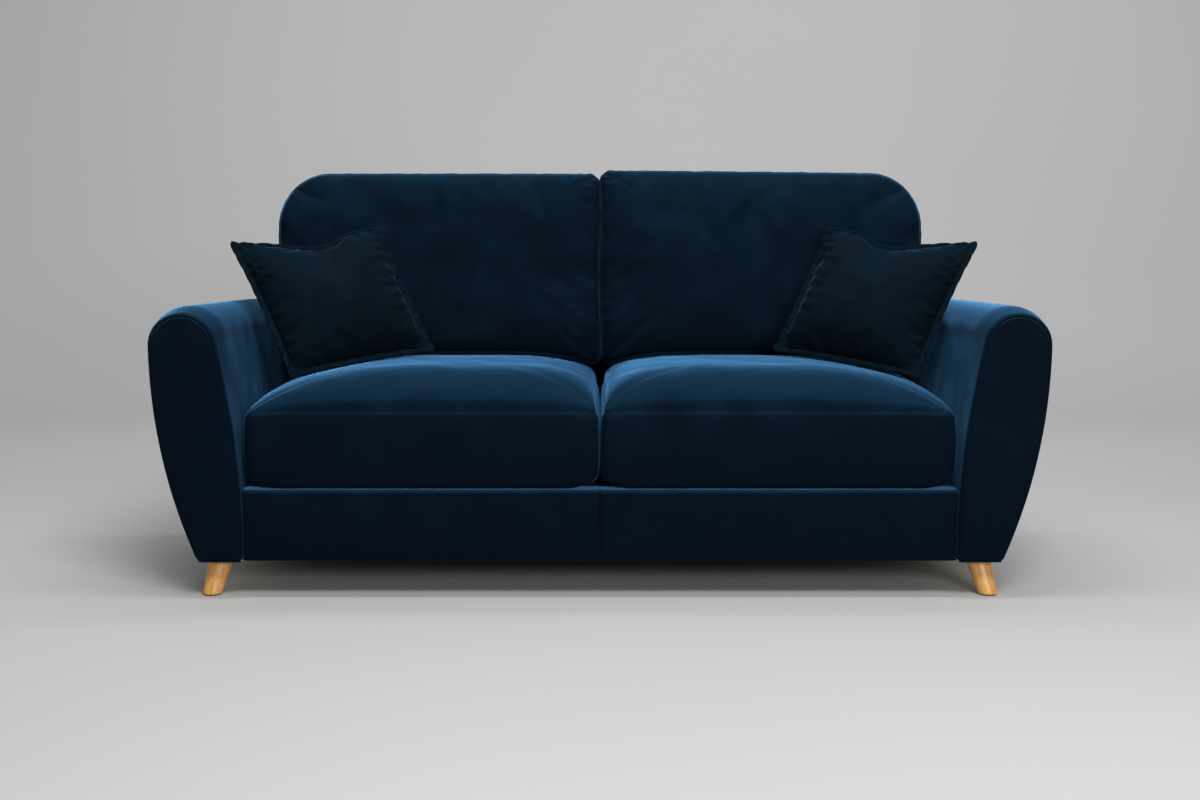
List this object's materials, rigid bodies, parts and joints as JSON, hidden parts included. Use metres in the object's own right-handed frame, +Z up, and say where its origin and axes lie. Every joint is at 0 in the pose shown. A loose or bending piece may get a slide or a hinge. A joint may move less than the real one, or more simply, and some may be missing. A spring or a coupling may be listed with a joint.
{
  "type": "sofa with wooden legs",
  "caption": "Velvet sofa with flared rounded arms, boxed loose seat cushions, tall loose back cushions, scatter cushions and splayed tapered wooden legs.",
  "frame": {"origin": "centre of the bounding box on the floor under the sofa", "axes": "+X to the sitter's left along the sofa, +Y from the front to the back, +Z up"},
  "size_m": [2.04, 0.94, 0.9718],
  "materials": {
    "front_rail": "matte",
    "back_rail": "matte",
    "base_side_rails": "matte",
    "seat_cross_rail": "matte",
    "corner_blocks": "matte",
    "back_frame_boards": "matte",
    "back_top_rail": "matte",
    "arm_base_board_left": "matte",
    "arm_base_board_right": "matte",
    "arm_end_boards_left": "matte",
    "arm_end_boards_right": "matte",
    "arm_top_rail_left": "matte",
    "arm_top_rail_right": "matte",
    "arm_base_rail_left": "matte",
    "arm_base_rail_right": "matte",
    "seat_springs": "satin",
    "spring_clips": "satin",
    "arm_bolts": "satin",
    "leg_plates": "satin",
    "leg_bolts": "satin",
    "plate_screws": "satin",
    "zip_pull_left": "satin",
    "zip_pull_right": "satin",
    "seat_deck": "matte",
    "dust_cover": "matte",
    "back_webbing": "matte",
    "seat_zip_left": "matte",
    "seat_zip_right": "matte",
    "back_foam": "matte",
    "rail_foam": "matte",
    "arm_foam_left": "matte",
    "arm_foam_right": "matte",
    "seat_cushion_core_left": "matte",
    "seat_cushion_core_right": "matte",
    "back_cushion_fill_left": "matte",
    "back_cushion_fill_right": "matte",
    "scatter_pad_left": "matte",
    "scatter_pad_right": "matte",
    "inside_back_cover": "matte",
    "outside_back_panel": "matte",
    "arm_cover_left": "matte",
    "arm_cover_right": "matte",
    "arm_facing_left": "matte",
    "arm_facing_right": "matte",
    "front_border_left": "matte",
    "front_border_right": "matte",
    "seat_cushion_cover_left": "matte",
    "seat_cushion_cover_right": "matte",
    "back_cushion_cover_left": "matte",
    "back_cushion_cover_right": "matte",
    "scatter_cover_left": "matte",
    "scatter_cover_right": "matte",
    "leg_front_left": "satin",
    "leg_front_right": "satin",
    "leg_back_left": "satin",
    "leg_back_right": "satin",
    "leg_glides": "matte"
  },
  "bodies": {
    "sofa_frame": {"front_rail": "front_rail", "back_rail": "back_rail", "base_side_rails": "base_side_rails", "seat_cross_rail": "seat_cross_rail", "corner_blocks": "corner_blocks", "back_frame_boards": "back_frame_boards", "back_top_rail": "back_top_rail", "arm_base_board_left": "arm_base_board_left", "arm_base_board_right": "arm_base_board_right", "arm_end_boards_left": "arm_end_boards_left", "arm_end_boards_right": "arm_end_boards_right", "arm_top_rail_left": "arm_top_rail_left", "arm_top_rail_right": "arm_top_rail_right", "arm_base_rail_left": "arm_base_rail_left", "arm_base_rail_right": "arm_base_rail_right", "seat_springs": "seat_springs", "spring_clips": "spring_clips", "arm_bolts": "arm_bolts", "leg_plates": "leg_plates", "leg_bolts": "leg_bolts", "plate_screws": "plate_screws", "seat_deck": "seat_deck", "dust_cover": "dust_cover", "back_webbing": "back_webbing", "back_foam": "back_foam", "rail_foam": "rail_foam", "arm_foam_left": "arm_foam_left", "arm_foam_right": "arm_foam_right", "inside_back_cover": "inside_back_cover", "outside_back_panel": "outside_back_panel", "arm_cover_left": "arm_cover_left", "arm_cover_right": "arm_cover_right", "arm_facing_left": "arm_facing_left", "arm_facing_right": "arm_facing_right", "front_border_left": "front_border_left", "front_border_right": "front_border_right", "leg_front_left": "leg_front_left", "leg_front_right": "leg_front_right", "leg_back_left": "leg_back_left", "leg_back_right": "leg_back_right", "leg_glides": "leg_glides"},
    "seat_cushion_left": {"seat_cushion_cover_left": "seat_cushion_cover_left", "seat_cushion_core_left": "seat_cushion_core_left", "seat_zip_left": "seat_zip_left"},
    "zip_slider_left": {"zip_pull_left": "zip_pull_left"},
    "back_cushion_left": {"back_cushion_cover_left": "back_cushion_cover_left", "back_cushion_fill_left": "back_cushion_fill_left"},
    "scatter_cushion_left": {"scatter_cover_left": "scatter_cover_left", "scatter_pad_left": "scatter_pad_left"},
    "seat_cushion_right": {"seat_cushion_cover_right": "seat_cushion_cover_right", "seat_cushion_core_right": "seat_cushion_core_right", "seat_zip_right": "seat_zip_right"},
    "zip_slider_right": {"zip_pull_right": "zip_pull_right"},
    "back_cushion_right": {"back_cushion_cover_right": "back_cushion_cover_right", "back_cushion_fill_right": "back_cushion_fill_right"},
    "scatter_cushion_right": {"scatter_cover_right": "scatter_cover_right", "scatter_pad_right": "scatter_pad_right"}
  },
  "joints": [
    {"name": "seat_cushion_left_pull_out", "type": "slide", "parent": "sofa_frame", "child": "seat_cushion_left", "axis": [0, -1, 0], "range_m": [0, 0.76]},
    {"name": "zip_left_run", "type": "slide", "parent": "seat_cushion_left", "child": "zip_slider_left", "axis": [1, 0, 0], "range_m": [0, 0.63]},
    {"name": "back_cushion_left_lift_off", "type": "slide", "parent": "sofa_frame", "child": "back_cushion_left", "axis": [0, 0.2011, 0.9796], "range_m": [0, 0.5]},
    {"name": "scatter_cushion_left_lift_off", "type": "slide", "parent": "sofa_frame", "child": "scatter_cushion_left", "axis": [0, 0, 1], "range_m": [0, 0.55]},
    {"name": "seat_cushion_right_pull_out", "type": "slide", "parent": "sofa_frame", "child": "seat_cushion_right", "axis": [0, -1, 0], "range_m": [0, 0.76]},
    {"name": "zip_right_run", "type": "slide", "parent": "seat_cushion_right", "child": "zip_slider_right", "axis": [-1, 0, 0], "range_m": [0, 0.63]},
    {"name": "back_cushion_right_lift_off", "type": "slide", "parent": "sofa_frame", "child": "back_cushion_right", "axis": [0, 0.2011, 0.9796], "range_m": [0, 0.5]},
    {"name": "scatter_cushion_right_lift_off", "type": "slide", "parent": "sofa_frame", "child": "scatter_cushion_right", "axis": [0, 0, 1], "range_m": [0, 0.55]}
  ]
}
